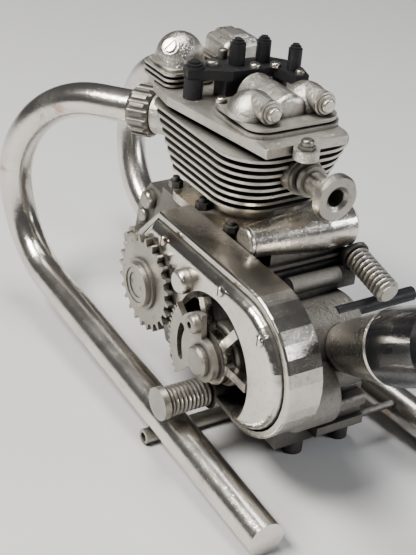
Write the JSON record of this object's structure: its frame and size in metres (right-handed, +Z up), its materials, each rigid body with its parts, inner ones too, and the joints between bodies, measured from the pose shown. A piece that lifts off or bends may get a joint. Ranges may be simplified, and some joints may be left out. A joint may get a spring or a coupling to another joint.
{
  "type": "miniature motorcycle engine",
  "caption": "Small plated model of a vintage motorcycle engine with finned barrel, domed rocker covers, open chaincase with sprocket and clutch, and two swept-back exhaust pipes.",
  "frame": {"origin": "on the standing plane, on the engine's centre plane, straight below the crankshaft", "axes": "+X to the engine's right, +Y forward, +Z up"},
  "size_m": [0.0389, 0.0915, 0.0486],
  "materials": {
    "plated": "worn bright nickel plating over cast metal",
    "cast": "rough cast metal with dark recesses",
    "steel": "dull silver with dark patina",
    "blackened": "matt black",
    "sleeve": "glossy black"
  },
  "bodies": {
    "engine": {"barrel_base_nuts": "cast", "bracket_nuts": "steel", "bracket_plate": "blackened", "bracket_screws": "plated", "bracket_tall_pillars": "blackened", "bracket_under_pillars": "blackened", "bracket_washers": "steel", "chaincase_cover": "plated", "chaincase_dome_bolt": "plated", "chaincase_inner": "plated", "chaincase_screws": "plated", "cradle": "cast", "crankcase_left_half": "cast", "crankcase_right_half": "cast", "cross_tube": "steel", "cylinder_barrel": "plated", "cylinder_head": "plated", "front_bolts": "cast", "front_cover_plug": "plated", "gearbox_bolts": "cast", "gearbox_rear_case": "cast", "gearbox_shell": "cast", "head_stud_nut": "plated", "intake_flange": "steel", "intake_stub": "steel", "left_exhaust_nut": "steel", "left_exhaust_pipe": "plated", "left_front_rocker_cover": "plated", "left_threaded_stud": "steel", "magneto_body": "plated", "magneto_end_cap": "plated", "magneto_platform": "cast", "rear_bell": "plated", "rear_brace": "cast", "rear_cap_bolts": "plated", "rear_cover_flange": "plated", "rear_cover_screws": "plated", "rear_foot": "cast", "rear_rocker_cover": "plated", "right_exhaust_nut": "steel", "right_exhaust_pipe": "plated", "right_front_rocker_cover": "plated", "right_stud_boss": "cast", "right_threaded_stud": "steel", "rubber_sleeve": "sleeve", "shift_shaft": "blackened"},
    "crank": {"crank_spindle": "steel", "crank_sprocket": "steel", "sprocket_collar": "steel", "sprocket_cap": "steel"},
    "clutch": {"clutch_spindle": "steel", "clutch_drum": "steel", "clutch_hub": "steel"},
    "quadrant": {"toothed_quadrant": "steel", "quadrant_bolt": "steel"}
  },
  "joints": [
    {"name": "crank_spin", "type": "hinge", "parent": "engine", "child": "crank", "pos_m": [0, 0, 0.0186], "axis": [1, 0, 0], "continuous": true},
    {"name": "clutch_spin", "type": "hinge", "parent": "engine", "child": "clutch", "pos_m": [0, -0.0153, 0.016], "axis": [1, 0, 0], "continuous": true},
    {"name": "quadrant_swing", "type": "hinge", "parent": "engine", "child": "quadrant", "pos_m": [0, -0.0153, 0.016], "axis": [1, 0, 0], "range_deg": [-4, 30]}
  ]
}
